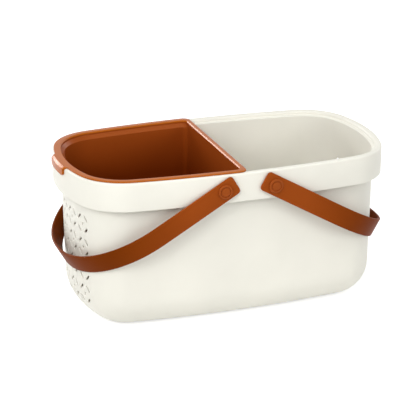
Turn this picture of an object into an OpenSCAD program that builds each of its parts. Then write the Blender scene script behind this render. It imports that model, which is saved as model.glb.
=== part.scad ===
// Bathroom caddy: a bowed oval basket with perforated ends, a lift-out tray over one half,
// and two swing handles that turn on push-in buttons through the rim skirt.
// Millimetres, +Z up, +X along the basket towards the open half. The origin is the middle of
// the underside, on the surface that the basket stands on.

/* [Basket] */
// Length over the rim skirt
basket_length = 400; // [370:1:430]
// Width over the rim skirt
basket_width = 218; // [204:1:232]
// Height from the standing face to the top of the rim
basket_height = 191.8; // [175:0.1:210]
// Outward bow of a long side
long_side_bow = 17; // [12:0.5:20]
// Outward bow of an end
end_bow = 33.4; // [28:0.1:37]
// Corner radius of the rim skirt, seen from above
corner_radius = 63; // [60:0.5:68]
// Wall thickness of the basket
basket_wall = 2.2; // [1.8:0.1:2.6]
// Thickness of the base
base_thickness = 3; // [2.4:0.1:3.6]
// Height of the skirt that folds down from the rim
skirt_height = 34.7; // [28:0.1:38]
// Inward step from the skirt to the body under it
body_inset = 10.6; // [9.5:0.1:12]
// How far the body wall leans inwards from skirt to base
body_taper = 2; // [0.5:0.1:3]
// Radius of the fillet round the base
base_fillet = 40; // [30:1:41]
// Outer edge radius of the rim
rim_outer_radius = 2.5; // [1:0.1:3]
// Inner edge radius of the rim
rim_inner_radius = 3.5; // [1:0.1:4]
// How far the inside of the rim steps out past the wall below it
rim_step = 3.6; // [2:0.1:4]
// Drop from the rim to the step's outer edge
rim_step_drop = 4.5; // [4.2:0.1:6]
// How much lower the step is at its inner edge, so that water runs off
rim_step_fall = 0.6; // [0.3:0.1:1]
// Edge radius of the skirt's lower lip
skirt_lip_radius = 0.8; // [0.3:0.1:0.9]
// Width of the ring that the basket stands on
foot_ring_width = 3.5; // [2:0.5:5]
// Width of the ledge round the floor, inside the foot ring
floor_ledge_width = 3; // [2:0.5:4]
// How far the drained floors of basket and tray are set back from both faces of their ledges
floor_step = 0.3; // [0.1:0.1:0.5]
// Depth of the recess inside the foot ring
foot_recess = 0.8; // [0.4:0.1:1.2]

/* [End perforations] */
// Width of the wall that the slots may fill
slot_field_width = 116; // [60:1:118]
// Lowest place for the middle of a slot, above the standing face
slot_floor_height = 30; // [26:1:60]
// Spacing of the columns along the wall
slot_column_pitch = 14.4; // [12:0.1:15]
// Spacing of the rows up the wall
slot_row_pitch = 14.9; // [12:0.1:15.5]
// Length of a slot over its round ends
slot_length = 9.4; // [6:0.1:11]
// Width of a slot
slot_width = 2.8; // [2:0.1:3.4]
// Lean of the slots from level
slot_lean = 45; // [35:1:55]
// Side of the small square hole inside each diamond of four slots
dot_size = 3; // [1.5:0.1:3.6]
// Drop from the skirt's lower lip to the middles of the top row
slots_below_skirt = 21.5; // [12:0.5:24]

/* [Base drains] */
// Diameter of a drain hole in the base
drain_diameter = 6; // [3:0.5:9]
// Drain holes along the basket
drain_columns = 6; // [2:1:6]
// Drain holes across the basket
drain_rows = 3; // [1:1:3]
// Spacing of the drain holes along the basket
drain_column_pitch = 40; // [20:1:42]
// Spacing of the drain holes across the basket
drain_row_pitch = 28; // [14:1:30]

/* [Tray] */
// Depth of the tray below the rim
tray_depth = 85; // [50:1:95]
// Wall thickness of the tray
tray_wall = 1.8; // [1.4:0.1:2.2]
// Thickness of the flange that rests on the rim
flange_thickness = 1.6; // [1.2:0.1:2]
// Edge radius of the flange
flange_edge = 0.4; // [0.2:0.1:0.5]
// Radius of the lip between the flange and the inside of the tray
tray_lip_radius = 1.3; // [0.8:0.1:1.8]
// Inset of the flange's edge from the skirt's face
flange_inset = 2; // [1:0.1:3]
// Distance from the basket's middle to the tray's divider edge
divider_setback = 1; // [0:0.5:12]
// Width of the flange along the divider
divider_flange_width = 6; // [5:0.1:9]
// Outer corner radius of the flange at the divider
divider_corner_radius = 9; // [7:0.5:12]
// Corner radius of the tray's wall at the divider
divider_wall_radius = 8; // [7.5:0.1:9]
// Gap between the tray's wall and the basket's inner wall at the rim
tray_clearance = 1.1; // [0.8:0.1:2]
// Gap between the tray and the rim above the step, and between their steps
tray_step_clearance = 0.5; // [0.4:0.1:0.8]
// How far the tray's wall leans inwards over its depth
tray_taper = 1.8; // [0.8:0.1:2]
// Fillet radius round the tray's underside
tray_fillet = 4.5; // [3:0.1:5]
// Width of the ledge round the tray's floor
tray_ledge_width = 4; // [2:0.5:6]
// Width of the thumb tab
tab_width = 46; // [30:1:60]
// Drop of the thumb tab below the rim
tab_drop = 9; // [5:0.5:14]
// Thickness of the thumb tab
tab_thickness = 2.4; // [1.6:0.1:3]
// Bevel along the tab's upper outer edge
tab_bevel = 2.2; // [0.4:0.1:2.4]
// Step from the flange's faces to the tab's root inside it
tab_step = 0.2; // [0.1:0.05:0.4]
// Gap between the thumb tab and the skirt
tab_clearance = 0.6; // [0.4:0.1:1]
// Radius of the curve from the thumb tab's side to the flange's edge
tab_blend = 4; // [2:0.5:5]
// Corner radius of the thumb tab's lower corners
tab_corner_radius = 3; // [1:0.5:4]
// Diameter of a drain hole in the tray's floor
tray_drain_diameter = 5; // [3:0.5:7]
// Tray drain holes along the basket
tray_drain_columns = 4; // [1:1:4]
// Tray drain holes across the basket
tray_drain_rows = 4; // [1:1:4]
// Spacing of the tray's drain holes
tray_drain_pitch = 34; // [20:1:36]

/* [Handles] */
// Distance from the basket's middle to a handle's pivot
pivot_spread = 31.4; // [24:0.1:40]
// Height of the pivots below the rim
pivot_drop = 18.8; // [15:0.1:21]
// How far the grip's outer face lies past the skirt's end when the handle is level
grip_standoff = 25.6; // [18:0.1:34]
// Thickness of the strap
strap_thickness = 2.9; // [2:0.1:3.5]
// Width of the strap at the grip
grip_width = 24; // [20:0.5:28]
// Width of the strap at the pivots
strap_end_width = 24; // [21:0.5:26]
// Length of strap past the pivot's axis
strap_tail = 16.2; // [12:0.1:18]
// Corner radius of the strap's tail
strap_tail_radius = 4.5; // [2:0.5:8]
// Gap between the strap and the skirt at the pivots
strap_clearance = 0.8; // [0.3:0.1:1.2]
// Inward bow of a strap arm over its reach
arm_bow = 4; // [2:0.5:12]
// Outward bow of the grip
grip_bow = 48; // [40:0.5:52]
// Distance from the handle's middle line to the centre of a corner's arc, before the arm's bow
handle_corner_offset = 10; // [6:0.5:30]
// Gap between the grip and the end wall where the handle comes to rest
grip_rest_clearance = 0.4; // [0.3:0.1:3]

/* [Pivot buttons] */
// Diameter of the button's head
button_diameter = 17.5; // [13:0.1:19]
// Thickness of the button's head
button_height = 2.1; // [1.6:0.1:2.6]
// Edge radius of the button's head
button_edge = 1.3; // [0.3:0.1:1.5]
// Mean diameter of the ring groove in the head
groove_diameter = 11.5; // [8:0.1:12]
// Width of the ring groove
groove_width = 1; // [0.6:0.1:1.4]
// Depth of the ring groove
groove_depth = 0.5; // [0.2:0.1:0.8]
// Diameter of the button's shaft
shaft_diameter = 8; // [6:0.1:9]
// Radial clearance round the shaft in the strap, the skirt and the cap
shaft_clearance = 0.06; // [0.03:0.01:0.09]
// Gap between the head and the strap, and between the cap and the skirt
button_end_clearance = 0.25; // [0.2:0.05:0.4]
// Diameter of the retaining cap behind the skirt
cap_diameter = 13; // [11:0.5:14]
// Thickness of the retaining cap
cap_thickness = 2.4; // [1.6:0.1:3]
// Length of shaft that shows past the cap
shaft_tip = 0.8; // [0.4:0.1:1.2]

/* [Hidden] */

cream = [0.93, 0.92, 0.87];
brown = [0.55, 0.27, 0.12];

// Facets of each arc in a quarter of a plan outline, and of each small rounding.
end_steps = 5;
corner_steps = 7;
long_steps = 5;
fillet_steps = 6;
edge_steps = 3;
divider_steps = 4;
bore_facets = 64;
drain_facets = 24;
slot_end_facets = 3;
tab_facets = 200;
// Limit and number of steps of the search for the angle at which the handles rest.
steepest_rest_angle = 45;
rest_angle_halvings = 16;
// Extra length of a cutter past the face that it cuts.
overcut = 1;
// Gap between the tray's flange and the rim that carries it.
tray_seat_gap = 0.2;

half_length = basket_length / 2;
half_width = basket_width / 2;
skirt_lip_z = basket_height - skirt_height;
taper_slope = body_taper / (skirt_lip_z - base_fillet);
rim_top_inset = body_inset + basket_wall - taper_slope * skirt_height;
top_slot_z = skirt_lip_z - slots_below_skirt;
step_z = basket_height - rim_step_drop;
// Even counts, so that the slots always close into whole diamonds.
slot_columns = 2 * floor(slot_field_width / slot_column_pitch / 2);
slot_rows = 2 * floor(((top_slot_z - slot_floor_height) / slot_row_pitch + 1) / 2);
pivot_z = basket_height - pivot_drop;

// A plan outline is [half length, half width, long bow, end bow, corner radius].
basket_plan = [half_length, half_width, long_side_bow, end_bow, corner_radius];

// Radius of an arc that rises by bow over half a chord.
function arc_radius(half_chord, bow) = (half_chord ^ 2 + bow ^ 2) / (2 * bow);
function long_radius(plan) = arc_radius(plan[0], plan[2]);
function end_radius(plan) = arc_radius(plan[1], plan[3]);
function long_centre(plan) = [0, plan[1] - long_radius(plan)];
function end_centre(plan) = [plan[0] - end_radius(plan), 0];

// Where two circles cross, on the left of the line from the first centre to the second.
function circles_cross(c1, r1, c2, r2) =
    let (d = norm(c2 - c1), u = (c2 - c1) / d, along = (r1 ^ 2 - r2 ^ 2 + d ^ 2) / (2 * d),
        across = sqrt(r1 ^ 2 - along ^ 2))
    c1 + along * u + across * [-u[1], u[0]];

function corner_centre(plan) = circles_cross(end_centre(plan), end_radius(plan) - plan[4],
    long_centre(plan), long_radius(plan) - plan[4]);

function direction(from, to) = atan2(to[1] - from[1], to[0] - from[0]);
function arc(centre, radius, from, to, steps, first = 0) =
    [for (i = [first : steps]) let (a = from + (to - from) * i / steps)
        centre + radius * [cos(a), sin(a)]];

// Angles at which the corner arc meets the end arc and the long arc.
function end_angle(plan) = direction(end_centre(plan), corner_centre(plan));
function long_angle(plan) = direction(long_centre(plan), corner_centre(plan));

// Quarter of a plan outline, from +X round to +Y, moved inwards by inset.
function quarter(plan, inset) = concat(
    arc(end_centre(plan), end_radius(plan) - inset, 0, end_angle(plan), end_steps),
    arc(corner_centre(plan), plan[4] - inset, end_angle(plan), long_angle(plan), corner_steps, 1),
    arc(long_centre(plan), long_radius(plan) - inset, long_angle(plan), 90, long_steps, 1));

function reversed(list) = [for (i = [len(list) - 1 : -1 : 0]) list[i]];
function without_ends(list) = [for (i = [1 : len(list) - 2]) list[i]];
function half_turned(points) = [for (p = points) -p];
function flipped_x(points) = [for (p = points) [-p[0], p[1]]];
function flipped_y(points) = [for (p = points) [p[0], -p[1]]];

// Whole outline, anticlockwise from above.
function outline(plan, inset) =
    let (q = quarter(plan, inset), upper = concat(q, flipped_x(reversed([for (i = [0 : len(q) - 2]) q[i]]))))
    concat(upper, half_turned(without_ends(upper)));

// How far a point lies inside a plan outline, measured square to it.
function inset_at(plan, point) =
    let (p = [abs(point[0]), abs(point[1])], turn = direction(corner_centre(plan), p))
    turn > end_angle(plan) && turn < long_angle(plan) ? plan[4] - norm(p - corner_centre(plan))
    : direction(end_centre(plan), p) < end_angle(plan) ? end_radius(plan) - norm(p - end_centre(plan))
    : long_radius(plan) - norm(p - long_centre(plan));

function at_height(points, z) = [for (p = points) [p[0], p[1], z]];

// Closed band: each ring is joined to the next and the last to the first, like a picture frame.
module ring_band(rings) {
    count = len(rings[0]);
    polyhedron(points = [for (r = rings, p = r) p], convexity = 8,
        faces = [for (k = [0 : len(rings) - 1], i = [0 : count - 1])
            let (j = (i + 1) % count, next = (k + 1) % len(rings))
            [k * count + i, next * count + i, next * count + j, k * count + j]]);
}

// Inset of the body's outer face from the skirt's face at height z.
function body_inset_at(z) = z < base_fillet
    ? body_inset + body_taper + base_fillet - sqrt(base_fillet ^ 2 - (base_fillet - z) ^ 2)
    : body_inset + taper_slope * (skirt_lip_z - z);

// Profile of the basket as [inset from the skirt's face, z], from the recess under the base,
// up the outside, round the skirt and the rim, and down the inside to the floor.
function basket_profile() =
    let (outer_foot = body_inset + body_taper + base_fillet,
        inner_fillet = base_fillet - basket_wall,
        outer_wall = body_inset + body_taper,
        roof_z = basket_height - basket_wall,
        step_roof_z = step_z - basket_wall,
        lip = skirt_lip_radius,
        ring_inner = outer_foot + foot_ring_width,
        ledge_end = ring_inner + floor_ledge_width)
    concat(
        [[ledge_end, foot_recess], [ring_inner, foot_recess], [ring_inner, 0]],
        arc([outer_foot, base_fillet], base_fillet, -90, -180, fillet_steps),
        [[body_inset_at(step_roof_z), step_roof_z - rim_step_fall],
            [body_inset_at(step_roof_z) - rim_step, step_roof_z],
            [body_inset_at(roof_z) - rim_step, roof_z], [basket_wall, roof_z], [basket_wall, skirt_lip_z]],
        arc([lip, skirt_lip_z + lip], lip, -90, -180, edge_steps),
        arc([rim_outer_radius, basket_height - rim_outer_radius], rim_outer_radius, 180, 90, edge_steps),
        arc([rim_top_inset - rim_step - rim_inner_radius, basket_height - rim_inner_radius],
            rim_inner_radius, 90, 0, edge_steps),
        [[rim_top_inset - rim_step, step_z], [rim_top_inset, step_z - rim_step_fall]],
        arc([outer_wall + basket_wall + inner_fillet, base_thickness + inner_fillet],
            inner_fillet, -180, -90, fillet_steps),
        [[ledge_end, base_thickness]]);

module basket_wall_band() {
    ring_band([for (p = basket_profile()) at_height(outline(basket_plan, p[0]), p[1])]);
}

// Floor of the basket, held by the middle of the ledge, with its drain holes.
module basket_floor() {
    floor_z = foot_recess + floor_step;
    thickness = base_thickness - foot_recess - 2 * floor_step;
    floor_inset = body_inset + body_taper + base_fillet + foot_ring_width + floor_ledge_width / 2;
    difference() {
        translate([0, 0, floor_z])
            linear_extrude(height = thickness)
                polygon(outline(basket_plan, floor_inset));
        drain_grid(0, drain_columns, drain_rows, drain_column_pitch, drain_row_pitch,
            drain_diameter, floor_z - overcut, floor_z + thickness + overcut);
    }
}

// Flat slot outline with round ends.
module slot_shape() {
    reach = (slot_length - slot_width) / 2;
    polygon([for (side = [0, 1], a = [-90 : 180 / slot_end_facets : 90])
        let (p = [reach + slot_width / 2 * cos(a), slot_width / 2 * sin(a)]) side == 0 ? p : -p]);
}

// Places a flat shape on the end wall, s along the wall and z up it, as a cutter through the wall.
module through_end_wall(end, s, z) {
    face_radius = end_radius(basket_plan) - body_inset;
    depth = basket_wall + body_taper + slot_length;
    translate([end * end_centre(basket_plan)[0], 0, z])
        rotate([0, 0, (end > 0 ? 0 : 180) + s / face_radius * 180 / PI])
            translate([face_radius - depth, 0, 0])
                rotate([90, 0, 90])
                    linear_extrude(height = depth + overcut)
                        children();
}

// Slots in rows and columns that lean left and right in turn, so that each four make a diamond,
// with a small square hole in the middle of each diamond.
module end_perforations(end) {
    for (column = [0 : slot_columns - 1], row = [0 : slot_rows - 1])
        through_end_wall(end, (column - (slot_columns - 1) / 2) * slot_column_pitch,
                top_slot_z - row * slot_row_pitch)
            rotate((column + row) % 2 == 0 ? slot_lean : -slot_lean)
                slot_shape();
    for (column = [0 : slot_columns / 2 - 1], row = [0 : slot_rows / 2 - 1])
        through_end_wall(end, (2 * column - slot_columns / 2 + 1) * slot_column_pitch,
                top_slot_z - (2 * row + 0.5) * slot_row_pitch)
            square(dot_size, center = true);
}

// Round holes in a grid about a middle point, cut through everything below top_z.
module drain_grid(middle, columns, rows, column_pitch, row_pitch, diameter, bottom_z, top_z) {
    for (i = [0 : columns - 1], j = [0 : rows - 1])
        translate([middle + (i - (columns - 1) / 2) * column_pitch, (j - (rows - 1) / 2) * row_pitch,
                bottom_z])
            cylinder(d = diameter, h = top_z - bottom_z, $fn = drain_facets);
}

// Runs children at the two ends of a handle's pivot axis: front towards -Y, rear towards +Y.
module at_pivot(end, side) {
    translate([end * pivot_spread, 0, pivot_z])
        rotate([side < 0 ? 90 : -90, 0, 0])
            children();
}

// Clearance hole for a button's shaft, along +Z.
module shaft_bore(length) {
    cylinder(d = shaft_diameter + 2 * shaft_clearance, h = length, $fn = bore_facets);
}

module basket() {
    color(cream)
        difference() {
            union() {
                basket_wall_band();
                basket_floor();
            }
            for (end = [-1, 1], side = [-1, 1])
                at_pivot(end, side)
                    translate([0, 0, half_width - body_inset + basket_wall])
                        shaft_bore(body_inset);
            for (end = [-1, 1])
                end_perforations(end);
        }
}

// Outline of the tray at a given inset from the skirt's face: the basket's left half, closed by a
// straight divider at edge_x with corners of radius corner.
function tray_outline(inset, edge_x, corner) =
    let (long_r = long_radius(basket_plan) - inset, long_c = long_centre(basket_plan),
        corner_x = edge_x - corner,
        corner_c = [corner_x, long_c[1] + sqrt((long_r - corner) ^ 2 - corner_x ^ 2)],
        divider_angle = direction(long_c, corner_c),
        left_corner_c = [-corner_centre(basket_plan)[0], corner_centre(basket_plan)[1]],
        left_long_angle = 180 - long_angle(basket_plan),
        left_end_angle = 180 - end_angle(basket_plan),
        upper = concat(
            [[edge_x, 0]],
            arc(corner_c, corner, 0, divider_angle, divider_steps),
            arc(long_c, long_r, divider_angle, left_long_angle, long_steps, 1),
            arc(left_corner_c, corner_radius - inset, left_long_angle, left_end_angle, corner_steps, 1),
            arc(-end_centre(basket_plan), end_radius(basket_plan) - inset,
                left_end_angle, 180, end_steps, 1)))
    concat(upper, flipped_y(reversed(without_ends(upper))));

flange_z = basket_height + tray_seat_gap;
flange_top_z = flange_z + flange_thickness;
divider_x = -divider_setback;
tray_bottom_z = basket_height - tray_depth;
tray_wall_inset = rim_top_inset + tray_clearance;
tray_brow_inset = rim_top_inset - rim_step + tray_step_clearance;
tray_step_roof_z = step_z + tray_step_clearance;
tray_step_z = tray_step_roof_z + tray_wall;
divider_wall_x = divider_x - divider_flange_width + tray_wall;

// Ring of the tray's wall, leaning inwards by lean from its place at the rim.
function tray_wall_ring(lean, z) = at_height(
    tray_outline(tray_wall_inset + lean, divider_wall_x - lean, divider_wall_radius - lean), z);
// The same above the step, where it stands further out; the divider has no step.
function tray_brow_ring(lean, z) = at_height(
    tray_outline(tray_brow_inset + lean, divider_wall_x - lean, divider_wall_radius - lean), z);
function flange_ring(trim, z) = at_height(
    tray_outline(flange_inset + trim, divider_x - trim, divider_corner_radius - trim), z);

// Outline of the flat floor inside the foot's fillets, moved inwards by inset.
function tray_floor_outline(inset) = let (lean = tray_taper + tray_fillet)
    tray_outline(tray_wall_inset + lean + inset, divider_wall_x - lean - inset, divider_wall_radius - lean);

// Profile of a filleted wall foot as [lean, z]; the wall's face leans by lean at the foot.
function tray_foot(lean, z, radius) = arc([lean + radius, z + radius], radius, -90, -180, edge_steps);

// Wall, step, flange and filleted foot of the tray, as a band that ends in a narrow ledge round the floor.
module tray_wall_band() {
    lip_middle = [tray_wall - tray_lip_radius, flange_top_z - tray_lip_radius];
    ring_band(concat(
        [at_height(tray_floor_outline(tray_ledge_width), tray_bottom_z)],
        [for (p = tray_foot(tray_taper, tray_bottom_z, tray_fillet)) tray_wall_ring(p[0], p[1])],
        [tray_wall_ring(0, tray_step_roof_z - rim_step_fall), tray_brow_ring(0, tray_step_roof_z),
            tray_brow_ring(0, flange_z), flange_ring(flange_edge, flange_z),
            flange_ring(0, flange_z + flange_edge), flange_ring(0, flange_top_z - flange_edge),
            flange_ring(flange_edge, flange_top_z)],
        [for (p = arc(lip_middle, tray_lip_radius, 90, 0, edge_steps)) tray_brow_ring(p[0], p[1])],
        [tray_brow_ring(tray_wall, tray_step_z), tray_wall_ring(tray_wall, tray_step_z - rim_step_fall)],
        [for (p = reversed(tray_foot(tray_taper + tray_wall, tray_bottom_z + tray_wall,
            tray_fillet - tray_wall))) tray_wall_ring(p[0], p[1])],
        [at_height(tray_floor_outline(tray_ledge_width), tray_bottom_z + tray_wall)]));
}

// Floor of the tray, held by the middle of the ledge, with its drain holes.
module tray_floor() {
    middle = (divider_x - half_length) / 2;
    floor_z = tray_bottom_z + floor_step;
    thickness = tray_wall - 2 * floor_step;
    difference() {
        translate([0, 0, floor_z])
            linear_extrude(height = thickness)
                polygon(tray_floor_outline(tray_ledge_width / 2));
        drain_grid(middle, tray_drain_columns, tray_drain_rows, tray_drain_pitch, tray_drain_pitch,
            tray_drain_diameter, floor_z - overcut, floor_z + thickness + overcut);
    }
}

// Front view of the thumb tab: rounded lower corners, and sides that flare into the flange.
module tab_front_view(bottom_z, top_z) {
    half = tab_width / 2;
    right = concat(
        arc([half - tab_corner_radius, bottom_z + tab_corner_radius], tab_corner_radius, -90, 0, edge_steps),
        arc([half + tab_blend, top_z - tab_blend], tab_blend, 180, 90, edge_steps));
    polygon(concat(right, flipped_x(reversed(right))));
}

// Thumb tab: a plate bent over the rim at the middle of the left end, turned about the end's centre.
module thumb_tab() {
    face_radius = end_radius(basket_plan);
    root_radius = face_radius - flange_inset - tab_thickness;
    inner_radius = face_radius + tab_clearance;
    outer_radius = inner_radius + tab_thickness;
    half_angle = (tab_width / 2 + tab_blend + overcut) / face_radius * 180 / PI;
    bottom_z = basket_height - tab_drop;
    root_z = flange_z + tab_step;
    top_z = flange_top_z - tab_step;
    intersection() {
        translate([-end_centre(basket_plan)[0], 0, 0])
            rotate([0, 0, 180 - half_angle])
                rotate_extrude(angle = 2 * half_angle, $fn = tab_facets)
                    polygon([[root_radius, root_z], [inner_radius, root_z], [inner_radius, bottom_z],
                        [outer_radius, bottom_z], [outer_radius, top_z - tab_bevel],
                        [outer_radius - tab_bevel, top_z], [root_radius, top_z]]);
        rotate([90, 0, -90])
            linear_extrude(height = basket_length)
                tab_front_view(bottom_z, top_z);
    }
}

module tray() {
    color(brown)
        union() {
            tray_wall_band();
            tray_floor();
            thumb_tab();
        }
}

// Plan of a handle, with +X from the pivot's axis to the grip.
strap_face = half_width + strap_clearance + strap_thickness;
handle_reach = half_length - pivot_spread + grip_standoff;
handle_corner_radius = strap_face - handle_corner_offset;
handle_plan = [handle_reach, strap_face, arm_bow, grip_bow, handle_corner_radius];

// Least gap between the grip's lower inner edge and the body, with the handle a given angle below level.
function grip_gap(angle) = min([for (p = quarter(handle_plan, strap_thickness)) let (
    x = pivot_spread + p[0] * cos(angle) - grip_width / 2 * sin(angle),
    z = pivot_z - p[0] * sin(angle) - grip_width / 2 * cos(angle))
    body_inset_at(z) - inset_at(basket_plan, [x, p[1]])]);

// Angle below level at which that gap shrinks to the clearance, found by halving the range.
function rest_angle(low, high, halvings) = let (middle = (low + high) / 2)
    halvings == 0 ? middle
    : grip_gap(middle) > grip_rest_clearance ? rest_angle(middle, high, halvings - 1)
    : rest_angle(low, middle, halvings - 1);
handle_rest_angle = rest_angle(0, steepest_rest_angle, rest_angle_halvings);

function strap_edge(inset) =
    let (q = quarter(handle_plan, inset), half = concat(q, [[-strap_tail, strap_face - inset]]))
    concat(flipped_y(reversed(half)), [for (i = [1 : len(half) - 1]) half[i]]);

// Side view of the strap: rounded tail, then a straight flare from the pivot's width to the grip's.
module strap_side_view() {
    r = strap_tail_radius;
    tail = -strap_tail + r;
    w = strap_end_width / 2;
    upper = concat(arc([tail, w - r], r, 180, 90, fillet_steps), [[0, w], [handle_reach / 2, grip_width / 2],
        [handle_reach + overcut, grip_width / 2]]);
    polygon(concat(upper, flipped_y(reversed(upper))));
}

module handle_strap() {
    intersection() {
        translate([0, 0, -grip_width])
            linear_extrude(height = 2 * grip_width)
                polygon(concat(strap_edge(0), reversed(strap_edge(strap_thickness))));
        rotate([90, 0, 0])
            linear_extrude(height = 2 * strap_face + overcut, center = true)
                strap_side_view();
    }
}

// Handle on the side given by end: the plan's +X points outwards and down at the rest angle.
module handle(end) {
    color(brown)
        difference() {
            translate([end * pivot_spread, 0, pivot_z])
                rotate([0, end > 0 ? handle_rest_angle : 180 - handle_rest_angle, 0])
                    handle_strap();
            for (side = [-1, 1])
                at_pivot(end, side)
                    translate([0, 0, half_width])
                        shaft_bore(strap_face - half_width + overcut);
        }
}

// Inner face of the skirt beside a pivot, measured along the pivot's axis where it is nearest
// to the basket's middle under the cap.
function skirt_inner_y() =
    let (r = long_radius(basket_plan) - basket_wall, x = pivot_spread + cap_diameter / 2)
    long_centre(basket_plan)[1] + sqrt(r ^ 2 - x ^ 2);

// Faceted long sides lie inside the true arc by up to this much.
long_side_sag = (long_radius(basket_plan)) * (1 - cos((90 - long_angle(basket_plan)) / long_steps / 2));
cap_face_y = skirt_inner_y() - long_side_sag - button_end_clearance;
head_face_y = strap_face + button_end_clearance;

// Button with its head outwards: a turned shape about the pivot's axis.
module button(end, side) {
    shaft_r = shaft_diameter / 2;
    head_r = button_diameter / 2;
    top = head_face_y + button_height;
    groove_in = (groove_diameter - groove_width) / 2;
    groove_out = (groove_diameter + groove_width) / 2;
    tip = cap_face_y - cap_thickness - shaft_tip;
    color(brown)
        at_pivot(end, side)
            rotate_extrude($fn = bore_facets)
                polygon(concat(
                    [[0, tip], [shaft_r - shaft_tip / 2, tip], [shaft_r, tip + shaft_tip / 2],
                        [shaft_r, head_face_y], [head_r, head_face_y]],
                    arc([head_r - button_edge, top - button_edge], button_edge, 0, 90, edge_steps),
                    [[groove_out, top], [groove_out, top - groove_depth],
                        [groove_in, top - groove_depth], [groove_in, top], [0, top]]));
}

// Retaining cap: a ring pushed on the shaft inside the hollow skirt.
module cap(end, side) {
    color(cream)
        at_pivot(end, side)
            translate([0, 0, cap_face_y - cap_thickness])
                difference() {
                    cylinder(d = cap_diameter, h = cap_thickness, $fn = bore_facets);
                    translate([0, 0, -overcut])
                        shaft_bore(cap_thickness + 2 * overcut);
                }
}

basket();
tray();
handle(-1);  // left_handle
handle(1);  // right_handle
button(-1, -1);  // left_front_button
button(-1, 1);  // left_rear_button
button(1, -1);  // right_front_button
button(1, 1);  // right_rear_button
cap(-1, -1);  // left_front_cap
cap(-1, 1);  // left_rear_cap
cap(1, -1);  // right_front_cap
cap(1, 1);  // right_rear_cap
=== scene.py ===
"""Shower caddy: the visible pieces, their finishes and the stage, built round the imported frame."""

import math
from types import SimpleNamespace

import bmesh
import bpy
import numpy as np
from bpy.props import FloatProperty, FloatVectorProperty, IntProperty, PointerProperty
from mathutils import Color, Matrix, Vector, geometry


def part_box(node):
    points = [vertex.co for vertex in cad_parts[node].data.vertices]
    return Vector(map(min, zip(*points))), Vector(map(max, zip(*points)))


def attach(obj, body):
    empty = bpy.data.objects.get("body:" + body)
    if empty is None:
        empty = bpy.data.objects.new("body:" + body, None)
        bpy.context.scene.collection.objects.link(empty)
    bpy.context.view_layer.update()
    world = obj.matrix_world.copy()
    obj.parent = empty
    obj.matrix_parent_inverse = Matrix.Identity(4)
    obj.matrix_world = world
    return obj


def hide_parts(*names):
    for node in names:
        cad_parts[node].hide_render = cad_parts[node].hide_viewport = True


bl_info = {
    "name": "Shower caddy",
    "version": (1, 0, 0),
    "blender": (4, 5, 0),
    "location": "3D View > Sidebar > Caddy",
    "description": "Builds a moulded shower caddy with a lift-out tray and two swinging handles",
    "category": "Object",
}

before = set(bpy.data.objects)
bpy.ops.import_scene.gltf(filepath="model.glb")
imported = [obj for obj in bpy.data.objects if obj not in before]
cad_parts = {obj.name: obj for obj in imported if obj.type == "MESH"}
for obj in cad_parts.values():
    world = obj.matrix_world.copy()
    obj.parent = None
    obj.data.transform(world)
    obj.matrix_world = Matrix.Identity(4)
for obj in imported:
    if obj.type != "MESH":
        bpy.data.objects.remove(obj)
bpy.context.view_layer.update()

# Lengths are in metres.
MERGE_DISTANCE = 2e-6  # points of neighbouring grids that are nearer than this are one point
SLIVER = 1e-7  # edges shorter than this are left out
ROUNDING = 1e-9  # sums of sizes may be off by this much
HOLE_EDGE = 0.0003  # rounding of the edges of slots and drains
CHAMFER = 0.0003  # small bevel on the foot ring and inside the skirt's lower edge
MILLIMETRES = 1000  # in a metre
SHARP_ANGLE = 35  # degrees between faces from which an edge is kept crisp
CORNER_STEPS, LONG_STEPS = 16, 14  # facets of a plan outline's corner, and of half a long side
ALONG, UP = 0, 2  # axes that a plastic's shade can change along
PLASTIC_IOR = 1.49  # of polypropylene
STAGE_CENTRE = (0, 0, 0.1)  # point that every lamp is turned towards


def length(name, default, text):
    """A size in metres."""
    return FloatProperty(name=name, default=default, description=text, min=0.0, unit="LENGTH", precision=4)


def colour(name, default, text, subtype="COLOR_GAMMA"):
    """A plain colour, as it looks on a screen unless the subtype says otherwise."""
    return FloatVectorProperty(name=name, default=default, description=text, subtype=subtype,
                               min=0.0, max=1.0)


def share(name, default, text):
    """A number from none to all."""
    return FloatProperty(name=name, default=default, description=text, min=0.0, max=1.0, subtype="FACTOR")


def degrees(name, default, text):
    """An angle, given in degrees."""
    return FloatProperty(name=name, default=math.radians(default), description=text, subtype="ANGLE")


def watts(name, default, text):
    """The power of a lamp."""
    return FloatProperty(name=name, default=default, description=text, min=0.0)


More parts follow.
